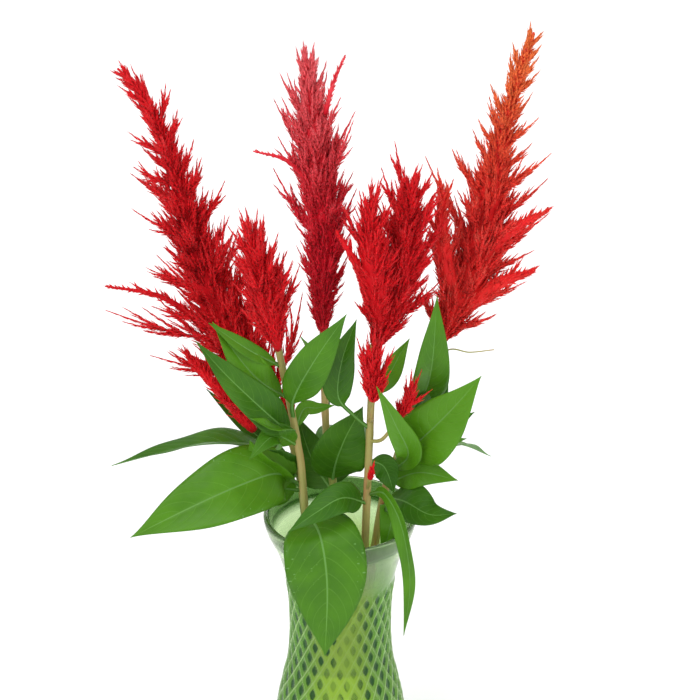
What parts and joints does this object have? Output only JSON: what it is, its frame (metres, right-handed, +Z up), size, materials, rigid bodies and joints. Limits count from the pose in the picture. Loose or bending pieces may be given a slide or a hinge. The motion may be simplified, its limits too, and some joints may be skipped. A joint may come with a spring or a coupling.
{
  "type": "plume celosia in a glass vase",
  "caption": "Cut plume celosia with feathery red plumes and lance-shaped leaves, standing in a waisted green pressed-glass vase.",
  "frame": {"origin": "middle of the vase's flat base", "axes": "+Z up along the vase, the front of the arrangement looks along -Y, +X to the right as seen from the front"},
  "size_m": [0.3212, 0.1796, 0.6026],
  "materials": {
    "green_glass": "clear lime-green pressed glass with a raised diamond net",
    "clear_water": "clear still water",
    "leaf_green": "soft leaf surface with paler veins, slightly glossy above",
    "plume_red": "silky crimson feathery branchlets",
    "plume_orange_red": "silky red branchlets that turn orange towards the tip"
  },
  "bodies": {
    "root": {"vase": "green_glass", "water": "clear_water", "shoot_left": "leaf_green", "shoot_inner_left": "leaf_green", "shoot_centre": "leaf_green", "shoot_inner_right": "leaf_green", "shoot_right": "leaf_green", "plume_left": "plume_red", "plume_inner_left": "plume_red", "plume_centre": "plume_red", "plume_inner_right": "plume_red", "plume_right": "plume_orange_red", "plume_side_forked": "plume_red", "plume_side_loose": "plume_red", "bud_low": "plume_red"}
  },
  "joints": []
}
